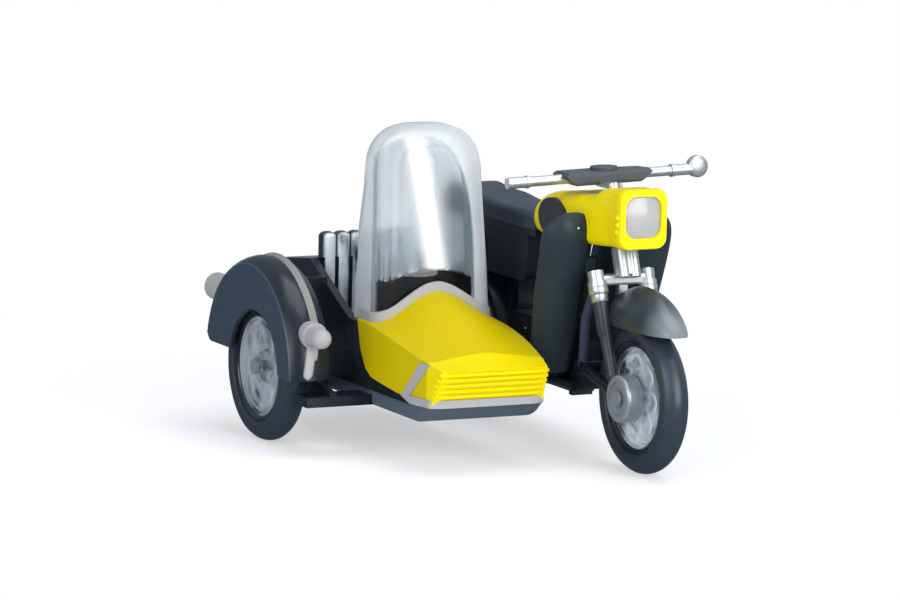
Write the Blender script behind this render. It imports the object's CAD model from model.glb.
import bpy, bmesh, math
from mathutils import Matrix, Vector


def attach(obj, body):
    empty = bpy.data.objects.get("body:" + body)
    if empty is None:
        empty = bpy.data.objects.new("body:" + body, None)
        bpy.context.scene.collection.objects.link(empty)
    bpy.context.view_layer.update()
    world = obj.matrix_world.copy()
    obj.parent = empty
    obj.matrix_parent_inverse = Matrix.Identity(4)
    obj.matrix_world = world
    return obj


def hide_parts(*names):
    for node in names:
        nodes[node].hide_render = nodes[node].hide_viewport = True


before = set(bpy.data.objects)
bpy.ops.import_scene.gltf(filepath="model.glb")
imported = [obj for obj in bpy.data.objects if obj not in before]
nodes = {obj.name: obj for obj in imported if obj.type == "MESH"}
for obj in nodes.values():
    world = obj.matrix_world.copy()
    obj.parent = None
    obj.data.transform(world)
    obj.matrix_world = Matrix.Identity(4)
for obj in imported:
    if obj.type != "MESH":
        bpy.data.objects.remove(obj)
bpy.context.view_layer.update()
mm = 0.001
weld = 1e-7    # metres within which two points become one
print("frame loaded", len(nodes), "nodes")

# Shared values of the miniature, in millimetres, in the frame of its wheels:
# X forward from the rear axle, Y to the left from the motorcycle's middle plane, Z up
layout = {
    "frameShift": (-7.195, 3.85369, 0.0),
    "wheelbase": 15.4,
    "tyreRadius": 3.29,
    "sidecarWheel": (2.7, -12.0),
}


def place(x, y, z):
    sx, sy, sz = layout["frameShift"]
    return Vector(((x + sx) * mm, (y + sy) * mm, (z + sz) * mm))


# Shader node groups

def newGroup(name, inputs, outputs):
    group = bpy.data.node_groups.new(name, "ShaderNodeTree")
    for label, kind, value in inputs:
        socket = group.interface.new_socket(label, in_out="INPUT", socket_type=kind)
        socket.default_value = value
    for label, kind in outputs:
        group.interface.new_socket(label, in_out="OUTPUT", socket_type=kind)
    return group, group.nodes.new("NodeGroupInput"), group.nodes.new("NodeGroupOutput")


def link(tree, source, target):
    tree.links.new(source, target)


def newNode(tree, kind, values=None):
    node = tree.nodes.new(kind)
    for label, value in (values or {}).items():
        node.inputs[label].default_value = value
    return node


def useGroup(tree, group, values):
    node = tree.nodes.new("ShaderNodeGroup")
    node.node_tree = group
    for label, value in values.items():
        node.inputs[label].default_value = value
    return node


def feed(tree, socket, value):
    # gives a socket a number, a colour or the output of another node
    if isinstance(value, bpy.types.NodeSocket):
        link(tree, value, socket)
    else:
        socket.default_value = (*value, 1.0) if isinstance(value, tuple) else value


def maths(tree, operation, first, second=None):
    # one sum on sockets or numbers; LENGTH takes a vector
    node = newNode(tree, "ShaderNodeVectorMath" if operation == "LENGTH" else "ShaderNodeMath")
    node.operation = operation
    feed(tree, node.inputs[0], first)
    if second is not None:
        feed(tree, node.inputs[1], second)
    return node.outputs["Value"]


def softStep(tree, value, low, high):
    # 0 below low, 1 above high, smooth between; low may be the larger
    node = newNode(tree, "ShaderNodeMapRange", {"From Min": low, "From Max": high})
    node.interpolation_type = "SMOOTHSTEP"
    link(tree, value, node.inputs["Value"])
    return node.outputs["Result"]


def ramp(tree, value, span, result=(0.0, 1.0)):
    # a straight run from the first result to the second while the value crosses the span
    node = newNode(tree, "ShaderNodeMapRange", {"From Min": span[0], "From Max": span[1]})
    feed(tree, node.inputs["To Min"], result[0])
    feed(tree, node.inputs["To Max"], result[1])
    link(tree, value, node.inputs["Value"])
    return node.outputs["Result"]


def mixed(tree, mask, first, second, kind="RGBA"):
    # first where the mask is 0 and second where it is 1: colours, or numbers with FLOAT
    node = newNode(tree, "ShaderNodeMix")
    node.data_type = kind
    link(tree, mask, node.inputs["Factor"])
    feed(tree, node.inputs["A"], first)
    feed(tree, node.inputs["B"], second)
    return node.outputs["Result"]


def mixedShaders(tree, mask, first, second):
    node = newNode(tree, "ShaderNodeMixShader")
    link(tree, mask, node.inputs["Fac"])
    link(tree, first, node.inputs[1])
    link(tree, second, node.inputs[2])
    return node.outputs[0]


def objectPlace(tree):
    return newNode(tree, "ShaderNodeTexCoord").outputs["Object"]


def axisOf(tree, vector, axis):
    split = newNode(tree, "ShaderNodeSeparateXYZ")
    link(tree, vector, split.inputs[0])
    return split.outputs[axis]


def modelled(tree, axis):
    # a coordinate in millimetres, in the frame of the wheels
    raw = maths(tree, "DIVIDE", axisOf(tree, objectPlace(tree), axis), mm)
    return maths(tree, "SUBTRACT", raw, layout["frameShift"]["XYZ".index(axis)])


def noise(tree, vector, scale, detail):
    node = newNode(tree, "ShaderNodeTexNoise", {"Detail": detail})
    feed(tree, node.inputs["Scale"], scale)
    link(tree, vector, node.inputs["Vector"])
    return node.outputs["Fac"]


def cloudOf(tree, look):
    # noise drawn out along Z, as the plastic flowed or as a hand rubbed it
    stretch = newNode(tree, "ShaderNodeMapping", {"Scale": look["stretch"]})
    link(tree, objectPlace(tree), stretch.inputs["Vector"])
    return noise(tree, stretch.outputs["Vector"], look["cloudScale"], look["cloudDetail"])


def bumped(tree, skin, strength, depth):
    bump = newNode(tree, "ShaderNodeBump", {"Strength": strength, "Distance": depth * mm})
    link(tree, skin.outputs["Height"], bump.inputs["Height"])
    return bump.outputs["Normal"]


mouldSkin = {"grainDetail": 3.0, "smudgeDetail": 5.0, "smudgeSpan": (0.35, 0.7)}
dustSpecks = {"patchScale": 600.0, "patchDetail": 2.0, "patchSpan": (0.58, 0.72)}


def makeMouldGroup():
    # the faint orange-peel of a small moulding, with the mottled gloss of handled plastic
    group, start, end = newGroup(
        "mouldSkin",
        [("Grain Scale", "NodeSocketFloat", 2500.0), ("Gloss Low", "NodeSocketFloat", 0.2),
         ("Gloss High", "NodeSocketFloat", 0.35), ("Smudge Scale", "NodeSocketFloat", 350.0)],
        [("Height", "NodeSocketFloat"), ("Roughness", "NodeSocketFloat")],
    )
    where = objectPlace(group)
    grain = noise(group, where, start.outputs["Grain Scale"], mouldSkin["grainDetail"])
    smudge = noise(group, where, start.outputs["Smudge Scale"], mouldSkin["smudgeDetail"])
    gloss = ramp(group, smudge, mouldSkin["smudgeSpan"],
                 (start.outputs["Gloss Low"], start.outputs["Gloss High"]))
    link(group, grain, end.inputs["Height"])
    link(group, gloss, end.inputs["Roughness"])
    return group


def makeDustGroup():
    # sparse pale specks of dust, as a mask
    group, start, end = newGroup(
        "dustSpecks",
        [("Colour", "NodeSocketColor", (0.5, 0.5, 0.5, 1.0)), ("Speck Scale", "NodeSocketFloat", 1400.0),
         ("Amount", "NodeSocketFloat", 0.1), ("Speck Colour", "NodeSocketColor", (0.75, 0.78, 0.8, 1.0))],
        [("Colour", "NodeSocketColor"), ("Mask", "NodeSocketFloat")],
    )
    where = objectPlace(group)
    patch = noise(group, where, dustSpecks["patchScale"], dustSpecks["patchDetail"])
    cells = newNode(group, "ShaderNodeTexVoronoi", {"Randomness": 1.0})
    link(group, where, cells.inputs["Vector"])
    link(group, start.outputs["Speck Scale"], cells.inputs["Scale"])
    size = maths(group, "MULTIPLY", ramp(group, patch, dustSpecks["patchSpan"]), start.outputs["Amount"])
    near = maths(group, "LESS_THAN", cells.outputs["Distance"], size)
    colour = mixed(group, near, start.outputs["Colour"], start.outputs["Speck Colour"])
    link(group, colour, end.inputs["Colour"])
    link(group, near, end.inputs["Mask"])
    return group


mouldGroup = makeMouldGroup()
dustGroup = makeDustGroup()


# Materials: one moulded plastic for each colour, with its own gloss, grain and dust. A plastic with a face,
# a front or a crest has a second colour on the flat outer face, the forward end or the rubbed crests

finishes = {
    "glossBlack": {"colour": (0.008, 0.012, 0.017), "gloss": (0.22, 0.38), "grain": 1800.0, "bump": 0.10,
                   "dust": 0.10, "shine": 0.34},
    "tyreBlack": {"colour": (0.021, 0.030, 0.043), "gloss": (0.30, 0.46), "grain": 2600.0, "bump": 0.12,
                  "dust": 0.12, "shine": 0.42},
    "slate": {"colour": (0.034, 0.048, 0.072), "gloss": (0.42, 0.6), "grain": 2600.0, "bump": 0.14,
              "dust": 0.06, "shine": 0.16},
    "seatSlate": {"colour": (0.040, 0.052, 0.068), "gloss": (0.42, 0.6), "grain": 2600.0, "bump": 0.14,
                  "dust": 0.06, "shine": 0.16},
    "stripeGrey": {"colour": (0.19, 0.185, 0.18), "gloss": (0.42, 0.6), "grain": 2600.0, "bump": 0.10,
                   "dust": 0.06, "shine": 0.2},
    "panSlate": {"colour": (0.075, 0.096, 0.122), "gloss": (0.36, 0.52), "grain": 2600.0, "bump": 0.14,
                 "dust": 0.06, "shine": 0.30},
    "coverGrey": {"colour": (0.055, 0.062, 0.070), "gloss": (0.4, 0.55), "grain": 2600.0, "bump": 0.14,
                  "dust": 0.08, "shine": 0.25},
    "padGrey": {"colour": (0.030, 0.034, 0.042), "gloss": (0.42, 0.58), "grain": 2600.0, "bump": 0.14,
                "dust": 0.08, "shine": 0.20},
    "rollBlack": {"colour": (0.012, 0.017, 0.023), "gloss": (0.28, 0.40), "grain": 1800.0, "bump": 0.12,
                  "dust": 0.12, "coat": 0.5, "shine": 0.5, "crest": (0.80, 0.90, 0.96)},
    "fenderSkin": {"colour": (0.008, 0.012, 0.017), "gloss": (0.22, 0.38), "grain": 1800.0, "bump": 0.10,
                   "dust": 0.08, "shine": 0.30, "face": (0.029, 0.041, 0.063), "faceY": (-12.88, -12.93)},
    "shieldBlack": {"colour": (0.017, 0.026, 0.032), "gloss": (0.36, 0.50), "grain": 1800.0, "bump": 0.12,
                    "dust": 0.10, "shine": 0.22},
    "beadBlack": {"colour": (0.012, 0.016, 0.022), "gloss": (0.14, 0.26), "grain": 1400.0, "bump": 0.08,
                  "dust": 0.05, "shine": 0.55},
    "guardBlack": {"colour": (0.021, 0.030, 0.038), "gloss": (0.28, 0.42), "grain": 1800.0, "bump": 0.12,
                   "dust": 0.12, "shine": 0.38, "front": (0.15, 0.17, 0.18),
                   "frontX": (16.7, 18.1)},
    "dashBlack": {"colour": (0.003, 0.003, 0.0035), "gloss": (0.4, 0.55), "grain": 2600.0, "bump": 0.08,
                  "dust": 0.0, "shine": 0.03},
    "yellow": {"colour": (0.66, 0.545, 0.0006), "gloss": (0.34, 0.46), "grain": 1500.0, "bump": 0.06,
               "dust": 0.03, "shine": 0.12},
    "hoodYellow": {"colour": (0.47, 0.375, 0.0004), "gloss": (0.34, 0.46), "grain": 1500.0, "bump": 0.06,
                   "dust": 0.03, "shine": 0.06,
                   "front": (0.64, 0.525, 0.0006), "frontX": (12.75, 12.90)},
    "greyPrint": {"colour": (0.30, 0.30, 0.305), "gloss": (0.4, 0.55), "grain": 2800.0, "bump": 0.10,
                  "dust": 0.0, "shine": 0.3},
    "lensGrey": {"colour": (0.34, 0.34, 0.335), "gloss": (0.22, 0.32), "grain": 2200.0, "bump": 0.04,
                 "dust": 0.0, "coat": 0.3, "shine": 0.4},
    "silver": {"colour": (0.52, 0.54, 0.57), "gloss": (0.34, 0.48), "grain": 2600.0, "bump": 0.12,
               "dust": 0.0, "coat": 0.1, "shine": 0.5, "metal": 0.85},
    "drumSilver": {"colour": (0.36, 0.39, 0.42), "gloss": (0.24, 0.36), "grain": 2200.0, "bump": 0.12,
                   "dust": 0.03, "coat": 0.1, "shine": 0.5, "metal": 0.6},
}
# Depth of the bump in millimetres, and the gloss of the clear coat
plasticDepth = {"bump": 0.02, "coatRough": 0.08}
crestPolish = {"stretch": (1.0, 1.0, 0.3), "cloudScale": 1500.0, "cloudDetail": 4.0, "span": (0.28, 0.62)}


def faceMask(tree, look):
    # 1 on the flat outer face, which lies beyond the span of Y
    return softStep(tree, modelled(tree, "Y"), *look["faceY"])


def frontMask(tree, look):
    # 0 behind the span of X and 1 ahead of it: the ribbed nose, or the polished tip of the mudguard
    return softStep(tree, modelled(tree, "X"), *look["frontX"])


def crestMask(tree, look):
    # where hands have polished the crest of a roll; the rolls carry it as an attribute
    crest = newNode(tree, "ShaderNodeAttribute")
    crest.attribute_name = "crest"
    patchy = softStep(tree, cloudOf(tree, crestPolish), *crestPolish["span"])
    return maths(tree, "MULTIPLY", crest.outputs["Fac"], patchy)


def makePlastic(name):
    look = finishes[name]
    material = bpy.data.materials.new(name)
    material.use_nodes = True
    tree = material.node_tree
    shader = tree.nodes["Principled BSDF"]
    skin = useGroup(tree, mouldGroup, {"Grain Scale": look["grain"], "Gloss Low": look["gloss"][0],
                                       "Gloss High": look["gloss"][1]})
    dust = useGroup(tree, dustGroup, {"Colour": (*look["colour"], 1.0), "Amount": look["dust"]})
    for zone, maskOf in (("face", faceMask), ("front", frontMask), ("crest", crestMask)):
        if zone in look:
            link(tree, mixed(tree, maskOf(tree, look), look["colour"], look[zone]), dust.inputs["Colour"])
    link(tree, skin.outputs["Roughness"], shader.inputs["Roughness"])
    link(tree, bumped(tree, skin, look["bump"], plasticDepth["bump"]), shader.inputs["Normal"])
    link(tree, dust.outputs["Colour"], shader.inputs["Base Color"])
    shader.inputs["Coat Weight"].default_value = look.get("coat", 0.0)
    shader.inputs["Coat Roughness"].default_value = plasticDepth["coatRough"]
    shader.inputs["Specular IOR Level"].default_value = look["shine"]
    shader.inputs["Metallic"].default_value = look.get("metal", 0.0)
    return material


clearLooks = {
    "clearScreen": {"tint": (0.90, 0.94, 0.97), "rough": (0.16, 0.26), "ripple": 0.15, "frost": (0.22, 0.40),
                    "frostColour": (0.26, 0.30, 0.34), "shadeColour": (0.24, 0.28, 0.32),
                    "edge": (0.40, 0.80), "edgeColour": (0.72, 0.75, 0.78), "edgeFrost": 0.62},
    "clearWheel": {"tint": (0.50, 0.56, 0.62), "rough": (0.08, 0.22), "ripple": 0.40, "frost": (0.30, 0.66),
                   "frostColour": (0.85, 0.93, 1.0), "shadeColour": (0.22, 0.26, 0.31), "edge": (0.45, 0.9),
                   "edgeColour": (0.85, 0.90, 0.95), "edgeFrost": 0.6},
    "smokyWheel": {"tint": (0.42, 0.47, 0.53), "rough": (0.08, 0.22), "ripple": 0.40, "frost": (0.28, 0.60),
                   "frostColour": (0.46, 0.50, 0.56), "shadeColour": (0.06, 0.07, 0.09), "edge": (0.45, 0.9),
                   "edgeColour": (0.60, 0.65, 0.70), "edgeFrost": 0.6},
}
clearFlow = {"ior": 1.3, "grain": 420.0, "depth": 0.05, "stretch": (1.0, 1.0, 0.22), "cloudScale": 420.0,
             "cloudDetail": 4.0, "hazeSpan": (0.35, 0.65), "streakSpan": (0.34, 0.62)}


def makeClear(name):
    # clear moulded plastic: flow ripples, a patchy haze, and paler where the wall is seen edge on
    look = clearLooks[name]
    material = bpy.data.materials.new(name)
    material.use_nodes = True
    tree = material.node_tree
    shader = tree.nodes["Principled BSDF"]
    shader.inputs["Base Color"].default_value = (*look["tint"], 1.0)
    shader.inputs["Transmission Weight"].default_value = 1.0
    shader.inputs["IOR"].default_value = clearFlow["ior"]
    skin = useGroup(tree, mouldGroup, {"Grain Scale": clearFlow["grain"], "Gloss Low": look["rough"][0],
                                       "Gloss High": look["rough"][1]})
    link(tree, bumped(tree, skin, look["ripple"], clearFlow["depth"]), shader.inputs["Normal"])
    cloud = cloudOf(tree, clearFlow)
    edge = ramp(tree, newNode(tree, "ShaderNodeLayerWeight").outputs["Facing"], look["edge"])
    haze = ramp(tree, cloud, clearFlow["hazeSpan"], look["frost"])
    streaks = mixed(tree, softStep(tree, cloud, *clearFlow["streakSpan"]), look["shadeColour"],
                    look["frostColour"])
    amount = mixed(tree, edge, haze, look["edgeFrost"], "FLOAT")
    tone = mixed(tree, edge, streaks, look["edgeColour"])
    roughness = skin.outputs["Roughness"]
    if name == "clearScreen":
        amount, tone, clear = addScreenPane(tree, amount, tone)
        roughness = maths(tree, "MULTIPLY", roughness, clear)
    link(tree, roughness, shader.inputs["Roughness"])
    frost = newNode(tree, "ShaderNodeBsdfDiffuse")
    link(tree, tone, frost.inputs["Color"])
    surface = mixedShaders(tree, amount, shader.outputs[0], frost.outputs[0])
    link(tree, surface, tree.nodes["Material Output"].inputs["Surface"])
    return material


# The screen's pane: an arched inner field with a frosted border round it, a polished streak down it that
# scatters more light, and a clear foot where the dash is seen through it

screenPane = {
    "archMiddle": -7.1, "archHalf": 2.55, "archLow": 8.5, "archRise": 5.3, "archPower": 2.6,
    "borderSpan": (0.96, 1.06), "borderFrost": 0.55, "borderColour": (0.56, 0.59, 0.62),
    "groove": 0.10, "grooveSpan": (0.90, 1.0, 1.12), "pressSpan": (0.90, 1.04),
    "streakY": -7.12, "streakLean": 0.144, "streakTop": 13.3, "streakHalf": (0.08, 0.85),
    "streakFrost": 0.76, "streakColour": (0.88, 0.90, 0.92),
    "footMiddle": -6.69, "footTop": 8.10, "footDrop": 0.09, "footSpan": (-0.08, 0.12),
    "wingX": (7.30, 6.95), "wingLean": 0.10,
    "smokeY": (-6.4, -5.3), "smokeZ": (12.9, 10.8), "smokeFrost": 0.58, "smokeColour": (0.10, 0.13, 0.15),
}


def addScreenPane(tree, amount, tone):
    # returns the frost's amount and tone, and a mask that is 0 where the foot is clear
    pane = screenPane
    x, y, z = (modelled(tree, axis) for axis in "XYZ")
    rise = maths(tree, "SUBTRACT", z, pane["archLow"])
    above = maths(tree, "MAXIMUM", maths(tree, "DIVIDE", rise, pane["archRise"]), 0.0)
    aside = maths(tree, "DIVIDE", maths(tree, "SUBTRACT", y, pane["archMiddle"]), pane["archHalf"])
    reach = maths(tree, "ADD", maths(tree, "POWER", maths(tree, "ABSOLUTE", aside), pane["archPower"]),
                  maths(tree, "POWER", above, pane["archPower"]))
    upright = maths(tree, "ADD", x, maths(tree, "MULTIPLY", rise, pane["wingLean"]))
    border = maths(tree, "MAXIMUM", softStep(tree, reach, *pane["borderSpan"]),
                   softStep(tree, upright, *pane["wingX"]))
    smoke = maths(tree, "MULTIPLY", softStep(tree, y, *pane["smokeY"]), softStep(tree, z, *pane["smokeZ"]))
    inside, line, outside = pane["grooveSpan"]
    groove = maths(tree, "SUBTRACT", softStep(tree, reach, inside, line),
                   softStep(tree, reach, line, outside))
    fall = maths(tree, "SUBTRACT", z, pane["streakTop"])
    middle = maths(tree, "ADD", maths(tree, "MULTIPLY", fall, -pane["streakLean"]), pane["streakY"])
    off = maths(tree, "ABSOLUTE", maths(tree, "SUBTRACT", y, middle))
    streak = softStep(tree, off, pane["streakHalf"][1], pane["streakHalf"][0])
    streak = maths(tree, "MULTIPLY", streak, maths(tree, "SUBTRACT", 1.0, border))
    bow = maths(tree, "POWER", maths(tree, "SUBTRACT", y, pane["footMiddle"]), 2.0)
    line = maths(tree, "SUBTRACT", pane["footTop"], maths(tree, "MULTIPLY", bow, pane["footDrop"]))
    foot = softStep(tree, maths(tree, "SUBTRACT", z, line), *pane["footSpan"])
    clear = maths(tree, "MAXIMUM", foot, border)
    for mask, share, colour in ((smoke, pane["smokeFrost"], pane["smokeColour"]),
                                (border, pane["borderFrost"], pane["borderColour"]),
                                (streak, pane["streakFrost"], pane["streakColour"])):
        amount = mixed(tree, mask, amount, share, "FLOAT")
        tone = mixed(tree, mask, tone, colour)
    amount = maths(tree, "SUBTRACT", amount, maths(tree, "MULTIPLY", groove, pane["groove"]))
    return maths(tree, "MULTIPLY", amount, clear), tone, clear


materials = {name: makePlastic(name) for name in finishes}
for name in clearLooks:
    materials[name] = makeClear(name)
print("materials made", len(materials))

nodeFinish = {
    "tyreBlack": ["front_tyre", "rear_tyre", "sidecar_tyre"],
    "clearWheel": ["front_wheel", "rear_wheel", "sidecar_wheel"],
    "clearScreen": ["windshield"],
    "yellow": ["tank_housing"],
    "hoodYellow": ["sidecar_hood"],
    "silver": ["handlebar", "steering_column", "mirror", "exhaust"],
    "drumSilver": ["front_brake_plate", "cylinder", "front_axle", "sidecar_axle", "rear_axle"],
    "dashBlack": ["sidecar_dash"],
    "padGrey": ["knee_pads"],
    "greyPrint": ["position_lamp", "sidecar_tail_lamp", "windshield_strip", "sidecar_nose_trim",
                  "rear_tail_lamp"],
    "lensGrey": ["headlamp_lens"],
    "slate": ["sidecar_cushion", "fork_legs"],
    "seatSlate": ["seat"],
    "stripeGrey": ["fender_stripe"],
    "panSlate": ["sidecar_pan"],
    "fenderSkin": ["sidecar_fender"],
    "shieldBlack": ["leg_shields", "side_covers"],
    "guardBlack": ["front_mudguard"],
    "coverGrey": ["handlebar_cover"],
}
finishOf = {name: finish for finish, names in nodeFinish.items() for name in names}
for name, obj in nodes.items():
    obj.data.materials.clear()
    obj.data.materials.append(materials[finishOf.get(name, "glossBlack")])
print("CAD nodes finished")


# Pieces in mesh code

def sweepRings(rings, closedEnds):
    # a skin over rings of equal count; each end is closed by a fan on its own middle point
    mesh = bmesh.new()
    rows = [[mesh.verts.new(point) for point in ring] for ring in rings]
    count = len(rows[0])
    for low, high in zip(rows, rows[1:]):
        for i in range(count):
            j = (i + 1) % count
            mesh.faces.new((low[i], low[j], high[j], high[i]))
    if closedEnds:
        for row in (rows[0], rows[-1]):
            middle = mesh.verts.new(sum((vert.co for vert in row), Vector()) / count)
            for i in range(count):
                mesh.faces.new((row[i], row[(i + 1) % count], middle))
    return mesh


def latheRings(start, down, rows, segments):
    # circles round an axis, one for each row of (distance along it, radius)
    across = down.orthogonal().normalized()
    other = down.cross(across)
    turns = [2 * math.pi * i / segments for i in range(segments)]
    rings = []
    for along, radius in rows:
        rings.append([start + down * along * mm + (across * math.cos(t) + other * math.sin(t)) * radius * mm
                      for t in turns])
    return rings


def joinMeshes(meshes):
    # one mesh from several, which are freed
    whole = bmesh.new()
    for part in meshes:
        data = bpy.data.meshes.new("part")
        part.to_mesh(data)
        part.free()
        whole.from_mesh(data)
        bpy.data.meshes.remove(data)
    return whole


def addPiece(name, mesh, finish, body, sharpDeg=40.0):
    bmesh.ops.recalc_face_normals(mesh, faces=mesh.faces)
    data = bpy.data.meshes.new(name)
    for face in mesh.faces:
        face.smooth = True
    for edge in mesh.edges:
        edge.smooth = len(edge.link_faces) == 2 and edge.calc_face_angle(0.0) < math.radians(sharpDeg)
    mesh.to_mesh(data)
    mesh.free()
    piece = bpy.data.objects.new(name, data)
    bpy.context.scene.collection.objects.link(piece)
    data.materials.append(materials[finish])
    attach(piece, body)
    return piece


def blendTo(rows, x):
    # a smooth value between the rows of a table of (x, value)
    if x <= rows[0][0]:
        return rows[0][1]
    for (x0, v0), (x1, v1) in zip(rows, rows[1:]):
        if x <= x1:
            t = (x - x0) / (x1 - x0)
            return v0 + (v1 - v0) * t * t * (3 - 2 * t)
    return rows[-1][1]


# Wheel discs: one clear moulding for each wheel, with a ring of shallow bowls between hub and rim

wheelDisc = {
    "segments": 120,
    "steps": 44,
    "bore": 0.235,
    "edge": 2.45,
    "halfWidth": [(0.235, 0.45), (0.42, 0.455), (0.60, 0.44), (0.72, 0.33), (1.00, 0.30), (1.86, 0.34),
                  (1.95, 0.30), (2.02, 0.21), (2.10, 0.21), (2.16, 0.36), (2.23, 0.37), (2.28, 0.30),
                  (2.33, 0.40), (2.45, 0.42)],
    "bowlRadius": 1.42,
    "bowlCount": 8,
    "bowlSize": (0.48, 0.46),
    "bowlPower": 1.4,
    "bowlDepth": {"front": 0.12, "rear": 0.07, "sidecar": 0.05},
    "finish": {"front": "clearWheel", "rear": "smokyWheel", "sidecar": "smokyWheel"},
    "bodies": {"front": ("front_wheel_set", (layout["wheelbase"], 0.0)),
               "rear": ("rear_wheel_set", (0.0, 0.0)),
               "sidecar": ("sidecar_wheel_set", layout["sidecarWheel"])},
}


def discHalfWidth(name, radius, turn):
    half = blendTo(wheelDisc["halfWidth"], radius)
    pitch = 2 * math.pi / wheelDisc["bowlCount"]
    off = (turn + pitch / 2) % pitch - pitch / 2
    across = off * radius / wheelDisc["bowlSize"][1]
    along = (radius - wheelDisc["bowlRadius"]) / wheelDisc["bowlSize"][0]
    reach = across * across + along * along
    if reach < 1.0:
        half -= wheelDisc["bowlDepth"][name] * (1.0 - reach) ** wheelDisc["bowlPower"]
    return half


def makeWheelDisc(name):
    body, (cx, cy) = wheelDisc["bodies"][name]
    cz = layout["tyreRadius"]
    steps = wheelDisc["steps"]
    bore, edge = wheelDisc["bore"], wheelDisc["edge"]
    radii = [bore + (edge - bore) * i / (steps - 1) for i in range(steps)]
    turns = [2 * math.pi * i / wheelDisc["segments"] for i in range(wheelDisc["segments"])]
    rings = []
    for side, order in ((-1, radii), (1, radii[::-1])):
        for radius in order:
            rings.append([place(cx + radius * math.sin(t), cy + side * discHalfWidth(name, radius, t),
                                cz + radius * math.cos(t)) for t in turns])
    rings.append(rings[0])
    mesh = sweepRings(rings, False)
    bmesh.ops.remove_doubles(mesh, verts=mesh.verts, dist=weld)
    piece = addPiece(name + "WheelDisc", mesh, wheelDisc["finish"][name], body)
    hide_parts(name + "_wheel")


for name in wheelDisc["bodies"]:
    makeWheelDisc(name)
print("wheel discs made")


# Bead rings: the glossy black lip of each tyre around its clear disc

beadRing = {
    "segments": 120,
    "section": [(2.17, 0.26), (2.18, 0.38), (2.24, 0.45), (2.34, 0.50), (2.43, 0.53), (2.47, 0.50)],
    "finish": "beadBlack",
}


def makeBeadRing(name):
    body, (cx, cy) = wheelDisc["bodies"][name]
    middle = place(cx, cy, layout["tyreRadius"])
    near = [(half, radius) for radius, half in beadRing["section"]]
    far = [(-half, radius) for half, radius in near[::-1]]
    rings = latheRings(middle, Vector((0, 1, 0)), near + far + near[:1], beadRing["segments"])
    mesh = sweepRings(rings, False)
    bmesh.ops.remove_doubles(mesh, verts=mesh.verts, dist=weld)
    piece = addPiece(name + "BeadRing", mesh, beadRing["finish"], body)


for name in wheelDisc["bodies"]:
    makeBeadRing(name)
print("bead rings made")


# Struts of the front wheel: a stepped clamp, a stout sleeve and a tapered lower tube on each side.
# Rows of the collar, the sleeve and the dome below are distance along the axis, radius

frontStrut = {
    "top": (13.15, 1.22, 8.12),
    "foot": (14.62, 1.06, 3.95),
    "segments": 40,
    "collar": [(0.30, 0.30), (0.31, 0.41), (0.36, 0.43), (0.62, 0.43), (0.66, 0.40), (0.68, 0.37),
               (0.96, 0.37), (1.00, 0.34), (1.01, 0.30)],
    "sleeve": [(0.37, 0.30), (0.42, 0.35), (2.30, 0.35), (2.42, 0.31), (2.60, 0.27), (3.70, 0.25),
               (3.95, 0.24), (4.14, 0.27), (4.36, 0.27), (4.50, 0.18), (4.56, 0.05)],
}


def makeStruts():
    tubes, collars = [], []
    for side in (-1, 1):
        x0, y0, z0 = frontStrut["top"]
        x1, y1, z1 = frontStrut["foot"]
        top, foot = place(x0, side * y0, z0), place(x1, side * y1, z1)
        down = (foot - top).normalized()
        tubes.append(sweepRings(latheRings(top, down, frontStrut["sleeve"], frontStrut["segments"]), True))
        collars.append(sweepRings(latheRings(top, down, frontStrut["collar"], frontStrut["segments"]), True))
    piece = addPiece("frontStruts", joinMeshes(tubes), "guardBlack", "steering")
    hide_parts("front_shocks")
    clamps = addPiece("strutCollars", joinMeshes(collars), "silver", "steering")


makeStruts()
print("front struts made")


# Lamp housing: three small domed studs on its right side

lampStuds = {
    "spots": [(14.79, -1.14, 11.01), (14.81, -1.14, 10.71), (14.74, -1.14, 10.40)],
    "segments": 20,
    "sharpDeg": 60.0,
    "dome": [(-0.06, 0.125), (0.05, 0.12), (0.10, 0.095), (0.125, 0.05), (0.13, 0.012)],
}


def makeStuds():
    studs = []
    for spot in lampStuds["spots"]:
        rings = latheRings(place(*spot), Vector((0, -1, 0)), lampStuds["dome"], lampStuds["segments"])
        studs.append(sweepRings(rings, True))
    piece = addPiece("lampStuds", joinMeshes(studs), "yellow", "chassis", lampStuds["sharpDeg"])


makeStuds()
print("lamp studs made")


# Stem of the position lamp: a thin strip that runs down the fender's crown from the lamp

lampStem = {
    "middle": (layout["sidecarWheel"][0], layout["tyreRadius"]),
    "radius": 4.90,
    "proud": 0.13,
    "turnDeg": (23.0, 2.0),
    "y": (-11.93, -12.28),
    "half": 0.21,
    "steps": 24,
    "segments": 16,
    "squareness": (0.6, 0.5),
    "taperFrom": 0.86,
    "sharpDeg": 50.0,
    "tip": 0.02,
}


def squared(value, power):
    # a sine or cosine pushed outward, for a rounded square
    return math.copysign(abs(value) ** power, value)


def makeLampStem():
    stem = lampStem
    cx, cz = stem["middle"]
    rings = []
    for i in range(stem["steps"] + 1):
        share = i / stem["steps"]
        turn = math.radians(stem["turnDeg"][0] + (stem["turnDeg"][1] - stem["turnDeg"][0]) * share)
        y = stem["y"][0] + (stem["y"][1] - stem["y"][0]) * share
        end = max(0.0, (share - stem["taperFrom"]) / (1.0 - stem["taperFrom"]))
        half = stem["half"] * math.sqrt(max(1.0 - end * end, stem["tip"]))
        ring = []
        for k in range(stem["segments"]):
            a = 2 * math.pi * k / stem["segments"]
            out = stem["radius"] + stem["proud"] * squared(math.sin(a), stem["squareness"][1])
            side = half * squared(math.cos(a), stem["squareness"][0])
            ring.append(place(cx + out * math.cos(turn), y + side, cz + out * math.sin(turn)))
        rings.append(ring)
    piece = addPiece("lampStem", sweepRings(rings, True), "greyPrint", "chassis", stem["sharpDeg"])


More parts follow.
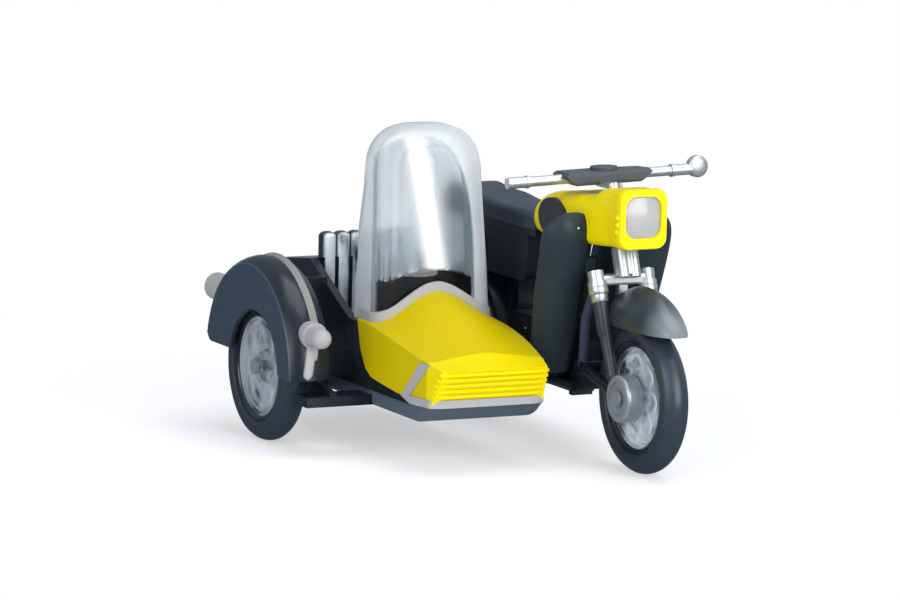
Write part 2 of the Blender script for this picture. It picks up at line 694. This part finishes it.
makeLampStem()
print("lamp stem made")


# Seat back of the sidecar: upright rolls side by side, set out along the seat by geometry nodes

seatRolls = {
    "count": 7,
    "pitch": 0.68,
    "middle": (0.95, -6.35),
    "low": 3.55,
    "top": 8.93,
    "half": (0.42, 0.352),
    "square": 2.7,
    "crown": 0.24,
    "segments": 44,
    "bevel": 0.06,
    "footShare": 0.96,
    "steps": 10,
    "crownDeg": (15, 30, 45, 58, 70, 80, 89),
    "tip": 0.02,
    "crestFrom": 0.52, "crestRun": 0.30,
}


def rollRing(y, z, share):
    # a plump, slightly squared oval seen from above
    x0 = seatRolls["middle"][0]
    hx, hy = seatRolls["half"]
    power = 2.0 / seatRolls["square"]
    ring = []
    for i in range(seatRolls["segments"]):
        t = 2 * math.pi * i / seatRolls["segments"]
        px = squared(math.cos(t), power) * hx * share
        py = squared(math.sin(t), power) * hy * share
        ring.append(place(x0 + px, y + py, z))
    return ring


def makeRollTree():
    tree = bpy.data.node_groups.new("rollsAlongSeat", "GeometryNodeTree")
    for label, kind, value in (("Geometry", "NodeSocketGeometry", None), ("Rolls", "NodeSocketInt", 3),
                               ("Pitch", "NodeSocketFloat", 0.001), ("Finish", "NodeSocketMaterial", None)):
        socket = tree.interface.new_socket(label, in_out="INPUT", socket_type=kind)
        if value is not None:
            socket.default_value = value
    tree.interface.new_socket("Geometry", in_out="OUTPUT", socket_type="NodeSocketGeometry")
    start, end = tree.nodes.new("NodeGroupInput"), tree.nodes.new("NodeGroupOutput")
    step = tree.nodes.new("ShaderNodeCombineXYZ")
    line = tree.nodes.new("GeometryNodeMeshLine")
    spread = tree.nodes.new("GeometryNodeInstanceOnPoints")
    solid = tree.nodes.new("GeometryNodeRealizeInstances")
    finish = tree.nodes.new("GeometryNodeSetMaterial")
    link(tree, start.outputs["Pitch"], step.inputs["Y"])
    link(tree, start.outputs["Rolls"], line.inputs["Count"])
    link(tree, step.outputs["Vector"], line.inputs["Offset"])
    link(tree, line.outputs["Mesh"], spread.inputs["Points"])
    link(tree, start.outputs["Geometry"], spread.inputs["Instance"])
    link(tree, spread.outputs["Instances"], solid.inputs["Geometry"])
    link(tree, solid.outputs["Geometry"], finish.inputs["Geometry"])
    link(tree, start.outputs["Finish"], finish.inputs["Material"])
    link(tree, finish.outputs["Geometry"], end.inputs["Geometry"])
    return tree


def bakeModifier(obj, name):
    # the evaluated mesh takes the place of the plain one, and the modifier goes
    bpy.context.view_layer.update()
    evaluated = obj.evaluated_get(bpy.context.evaluated_depsgraph_get())
    data = bpy.data.meshes.new_from_object(evaluated)
    data.name = name
    obj.modifiers.clear()
    old = obj.data
    obj.data = data
    bpy.data.meshes.remove(old)


def makeSeatRolls():
    count, pitch = seatRolls["count"], seatRolls["pitch"]
    low, top, crown = seatRolls["low"], seatRolls["top"], seatRolls["crown"]
    first = seatRolls["middle"][1] - pitch * (count - 1) / 2
    shoulder = low + seatRolls["bevel"]
    rise = (top - crown - shoulder) / seatRolls["steps"]
    rows = [(low, seatRolls["footShare"]), (shoulder, 1.0)]
    rows += [(shoulder + rise * i, 1.0) for i in range(1, seatRolls["steps"] + 1)]
    for turn in (math.radians(degrees) for degrees in seatRolls["crownDeg"]):
        rows.append((top - crown + crown * math.sin(turn), max(math.cos(turn), seatRolls["tip"])))
    mesh = sweepRings([rollRing(first, z, share) for z, share in rows], True)
    bmesh.ops.recalc_face_normals(mesh, faces=mesh.faces)
    data = bpy.data.meshes.new("seatRoll")
    for face in mesh.faces:
        face.smooth = True
    mesh.to_mesh(data)
    mesh.free()
    crest = data.attributes.new("crest", "FLOAT", "POINT")
    middleX = place(seatRolls["middle"][0], 0, 0).x
    for vert in data.vertices:
        forward = (vert.co.x - middleX) / (seatRolls["half"][0] * mm)
        share = (forward - seatRolls["crestFrom"]) / seatRolls["crestRun"]
        crest.data[vert.index].value = max(0.0, min(1.0, share))
    piece = bpy.data.objects.new("seatRolls", data)
    bpy.context.scene.collection.objects.link(piece)
    tree = makeRollTree()
    modifier = piece.modifiers.new("rolls", "NODES")
    modifier.node_group = tree
    socket = {item.name: item.identifier for item in tree.interface.items_tree if item.in_out == "INPUT"}
    modifier[socket["Rolls"]] = count
    modifier[socket["Pitch"]] = pitch * mm
    modifier[socket["Finish"]] = materials["rollBlack"]
    bakeModifier(piece, "seatRolls")
    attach(piece, "chassis")
    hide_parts("sidecar_seat_back")


makeSeatRolls()
print("seat rolls made")


# Screen of the sidecar: a clear wrapped shell, open behind, with a shallow arched field pressed into its pane

screenShell = {
    "middleY": -6.35,
    "footZ": 5.78, "shoulderZ": 11.7, "crownZ": 14.31,
    "halfFoot": 2.84, "halfShoulder": 2.60,
    "crownPower": 2.9,
    "frontX": 8.05, "lean": ((6.5, 0.052), (8.0, 0.105)),
    "wing": ((5.78, 2.45), (9.0, 2.25), (12.5, 1.60), (14.4, 1.45)),
    "wall": 0.30, "round": 0.85, "bow": 0.16,
    "columns": 48, "wingRows": 8, "roundRows": 9, "paneRows": 30,
    "pressed": 0.09, "pressRun": 6,
    "weld": 2e-6, "sharpDeg": 50.0,
    "shoulderShare": 0.42, "spineRise": 1.2,
}


def screenFront(z):
    # the pane leans back a little above the hood, and more above the dash
    (z0, slope0), (z1, slope1) = screenShell["lean"]
    return screenShell["frontX"] - (min(z, z1) - z0) * slope0 - max(z - z1, 0.0) * slope1


def screenOutline(inset):
    # half an outline from foot to crown, then its mirror: points (y, z) about the middle of the screen
    s = screenShell
    straight = s["shoulderShare"]
    half = []
    for i in range(s["columns"] + 1):
        share = i / s["columns"]
        if share < straight:
            up = share / straight
            half.append((s["halfFoot"] + (s["halfShoulder"] - s["halfFoot"]) * up,
                         s["footZ"] + (s["shoulderZ"] - s["footZ"]) * up))
        else:
            turn = (share - straight) / (1.0 - straight) * math.pi / 2
            power = 2.0 / s["crownPower"]
            half.append((s["halfShoulder"] * math.cos(turn) ** power if share < 1.0 else 0.0,
                         s["shoulderZ"] + (s["crownZ"] - s["shoulderZ"]) * math.sin(turn) ** power))
    points = [(-y, z) for y, z in half] + [(y, z) for y, z in half[-2::-1]]
    moved = []
    for i, (y, z) in enumerate(points):
        before, after = points[max(i - 1, 0)], points[min(i + 1, len(points) - 1)]
        run = Vector((after[0] - before[0], after[1] - before[1])).normalized()
        if i in (0, len(points) - 1):
            run = Vector((0, 1 if i == 0 else -1))
        moved.append((y + run.y * inset, z - run.x * inset))
    return moved


def pressedIn(y, z):
    # depth of the arched field at a point of the pane
    pane = screenPane
    aside = abs(y - pane["archMiddle"]) / pane["archHalf"]
    above = max(z - pane["archLow"], 0.0) / pane["archRise"]
    reach = aside ** pane["archPower"] + above ** pane["archPower"]
    inside, outside = pane["pressSpan"]
    return blendTo([(inside, screenShell["pressed"]), (outside, 0.0)], reach)


def screenSkin(inset):
    s = screenShell
    radius = s["round"] - inset
    middle = s["middleY"]
    spineTop = s["shoulderZ"] + s["spineRise"]
    rim = screenOutline(inset)
    rows = []
    for i in range(s["wingRows"]):
        share = i / s["wingRows"]
        row = []
        for y, z in rim:
            front = screenFront(z) - inset - radius
            rear = screenFront(z) - blendTo(s["wing"], z)
            row.append((rear + (front - rear) * share, middle + y, z))
        rows.append(row)
    for i in range(s["roundRows"]):
        turn = math.pi / 2 * i / s["roundRows"]
        row = []
        for y, z in screenOutline(inset + radius * (1 - math.cos(turn))):
            row.append((screenFront(z) - inset - radius + radius * math.sin(turn), middle + y, z))
        rows.append(row)
    rim = screenOutline(inset + radius)
    for i in range(s["paneRows"] + 1):
        share = i / s["paneRows"]
        row = []
        for y, z in rim:
            py, pz = y * (1 - share), z + (min(z, spineTop) - z) * share
            bowMiddle = 1 - (py / s["halfFoot"]) ** 2
            bowRim = 1 - (y / s["halfFoot"]) ** 2
            bow = s["bow"] * bowMiddle - s["bow"] * bowRim * (1 - share)
            field = pressedIn(middle + py, pz) if inset == 0 else 0.0
            pressed = field * min(share * s["pressRun"], 1)
            row.append((screenFront(pz) - inset + bow * share - pressed, middle + py, pz))
        rows.append(row)
    return rows


def makeScreen():
    mesh = bmesh.new()
    skins = []
    for inset in (0.0, screenShell["wall"]):
        skins.append([[mesh.verts.new(place(*point)) for point in row] for row in screenSkin(inset)])
    for skin in skins:
        for low, high in zip(skin, skin[1:]):
            for i in range(len(low) - 1):
                mesh.faces.new((low[i], low[i + 1], high[i + 1], high[i]))
    outer, inner = skins
    for i in range(len(outer[0]) - 1):
        mesh.faces.new((outer[0][i], outer[0][i + 1], inner[0][i + 1], inner[0][i]))
    for k in (0, -1):
        for i in range(len(outer) - 1):
            mesh.faces.new((outer[i][k], outer[i + 1][k], inner[i + 1][k], inner[i][k]))
    bmesh.ops.remove_doubles(mesh, verts=mesh.verts, dist=screenShell["weld"])
    bmesh.ops.dissolve_degenerate(mesh, dist=weld, edges=mesh.edges)
    piece = addPiece("screenShell", mesh, "clearScreen", "chassis", screenShell["sharpDeg"])
    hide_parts("windshield")


makeScreen()
print("screen made")


# Floor, lights, world and camera

studio = {
    "floorSize": 0.6,
    "lamps": {
        "keyLamp": {"size": 0.30, "power": 0.86, "spot": (60, 60, 380)},
        "fillLamp": {"size": 0.20, "power": 0.78, "spot": (270, 60, 80)},
        "sideLamp": {"size": 0.20, "power": 0.50, "spot": (150, -260, 110)},
    },
    "aim": (7, -4, 5),
    "worldLevel": 0.42, "worldColour": (0.90, 0.95, 1),
    "wallTurn": (-0.60, 0.80), "wallSpan": (0.55, 0.95),
    "skyHigh": (0.50, 0.57, 0.66), "skyLow": (0.035, 0.045, 0.06), "skyZ": (-0.1, 0.9),
    "paper": (0.92, 0.94, 0.98), "paperRough": 0.9, "paperShine": 0.1,
    "paperGlow": 0.5, "whiteSpan": (0.014, 0.042),
    "floorMirror": (0.13, 0.16, 0.20),
}


def makeFloor():
    mesh = bpy.data.meshes.new("floor")
    half = studio["floorSize"]
    corners = [(-half, -half, 0), (half, -half, 0), (half, half, 0), (-half, half, 0)]
    mesh.from_pydata(corners, [], [(0, 1, 2, 3)])
    floor = bpy.data.objects.new("floor", mesh)
    bpy.context.scene.collection.objects.link(floor)
    material = bpy.data.materials.new("floorPaper")
    material.use_nodes = True
    tree = material.node_tree
    shader = tree.nodes["Principled BSDF"]
    shader.inputs["Base Color"].default_value = (*studio["paper"], 1)
    shader.inputs["Roughness"].default_value = studio["paperRough"]
    shader.inputs["Specular IOR Level"].default_value = studio["paperShine"]
    # the eye, straight or through clear plastic, sees the paper part-lit from behind and white further out;
    # mirrored rays meet a dark studio table instead, and the light the paper gives back is unchanged
    glow = newNode(tree, "ShaderNodeEmission")
    mirrored = newNode(tree, "ShaderNodeEmission", {"Color": (*studio["floorMirror"], 1)})
    path = newNode(tree, "ShaderNodeLightPath")
    share = softStep(tree, maths(tree, "LENGTH", objectPlace(tree)), *studio["whiteSpan"])
    share.node.inputs["To Min"].default_value = studio["paperGlow"]
    seen = maths(tree, "MAXIMUM", path.outputs["Is Camera Ray"], path.outputs["Is Transmission Ray"])
    onlyMirror = maths(tree, "SUBTRACT", path.outputs["Is Glossy Ray"], path.outputs["Is Transmission Ray"])
    paper = mixedShaders(tree, maths(tree, "MULTIPLY", seen, share), shader.outputs[0], glow.outputs[0])
    surface = mixedShaders(tree, onlyMirror, paper, mirrored.outputs[0])
    link(tree, surface, tree.nodes["Material Output"].inputs["Surface"])
    mesh.materials.append(material)


def makeLamp(name):
    values = studio["lamps"][name]
    data = bpy.data.lights.new(name, "AREA")
    data.shape = "SQUARE"
    data.size = values["size"]
    data.energy = values["power"]
    lamp = bpy.data.objects.new(name, data)
    bpy.context.scene.collection.objects.link(lamp)
    lamp.location = place(*values["spot"])
    lamp.rotation_euler = (place(*studio["aim"]) - lamp.location).to_track_quat("-Z", "Y").to_euler()


def makeWorld():
    # even white to the eye and through clear plastic; to mirrored rays a graded sky with a bright wall behind
    # and to the left; low light to the rest
    world = bpy.data.worlds.new("studio")
    bpy.context.scene.world = world
    world.use_nodes = True
    tree = world.node_tree
    light = tree.nodes["Background"]
    light.inputs["Color"].default_value = (*studio["worldColour"], 1)
    light.inputs["Strength"].default_value = studio["worldLevel"]
    seen = newNode(tree, "ShaderNodeBackground", {"Color": (1, 1, 1, 1)})
    mirrored = newNode(tree, "ShaderNodeBackground")
    path = newNode(tree, "ShaderNodeLightPath")
    toward = newNode(tree, "ShaderNodeTexCoord").outputs["Generated"]
    x, y, z = (axisOf(tree, toward, axis) for axis in "XYZ")
    around = maths(tree, "ADD", maths(tree, "MULTIPLY", x, studio["wallTurn"][0]),
                   maths(tree, "MULTIPLY", y, studio["wallTurn"][1]))
    lift = maths(tree, "MAXIMUM", softStep(tree, z, *studio["skyZ"]),
                 softStep(tree, around, *studio["wallSpan"]))
    link(tree, mixed(tree, lift, studio["skyLow"], studio["skyHigh"]), mirrored.inputs["Color"])
    lit = mixedShaders(tree, path.outputs["Is Glossy Ray"], light.outputs[0], mirrored.outputs[0])
    either = maths(tree, "MAXIMUM", path.outputs["Is Camera Ray"], path.outputs["Is Transmission Ray"])
    final = mixedShaders(tree, either, lit, seen.outputs[0])
    link(tree, final, tree.nodes["World Output"].inputs["Surface"])


# The photographed view: angles in degrees, and the aim and its distance in millimetres

cameraView = {
    "bearing": 63.813,
    "rise": 8.459,
    "roll": 1.324,
    "aim": (-2.272, -0.635, 5.001),
    "distance": 218.41,
    "lens": 189.77,
    "sensor": 36.0,
    "clip": (0.01, 5.0),
}


def makeCamera():
    data = bpy.data.cameras.new("camera")
    data.lens = cameraView["lens"]
    data.sensor_fit = "HORIZONTAL"
    data.sensor_width = cameraView["sensor"]
    data.clip_start, data.clip_end = cameraView["clip"]
    camera = bpy.data.objects.new("camera", data)
    bpy.context.scene.collection.objects.link(camera)
    bearing, rise, roll = (math.radians(cameraView[key]) for key in ("bearing", "rise", "roll"))
    turn = Matrix.Rotation(bearing, 4, "Z") @ Matrix.Rotation(math.pi / 2 - rise, 4, "X")
    turn = turn @ Matrix.Rotation(roll, 4, "Z")
    back = Matrix.Translation((0, 0, cameraView["distance"] * mm))
    camera.matrix_world = Matrix.Translation(place(*cameraView["aim"])) @ turn @ back
    bpy.context.scene.camera = camera


makeFloor()
for name in studio["lamps"]:
    makeLamp(name)
makeWorld()
makeCamera()
bpy.context.scene.view_settings.view_transform = "Standard"
print("studio made")
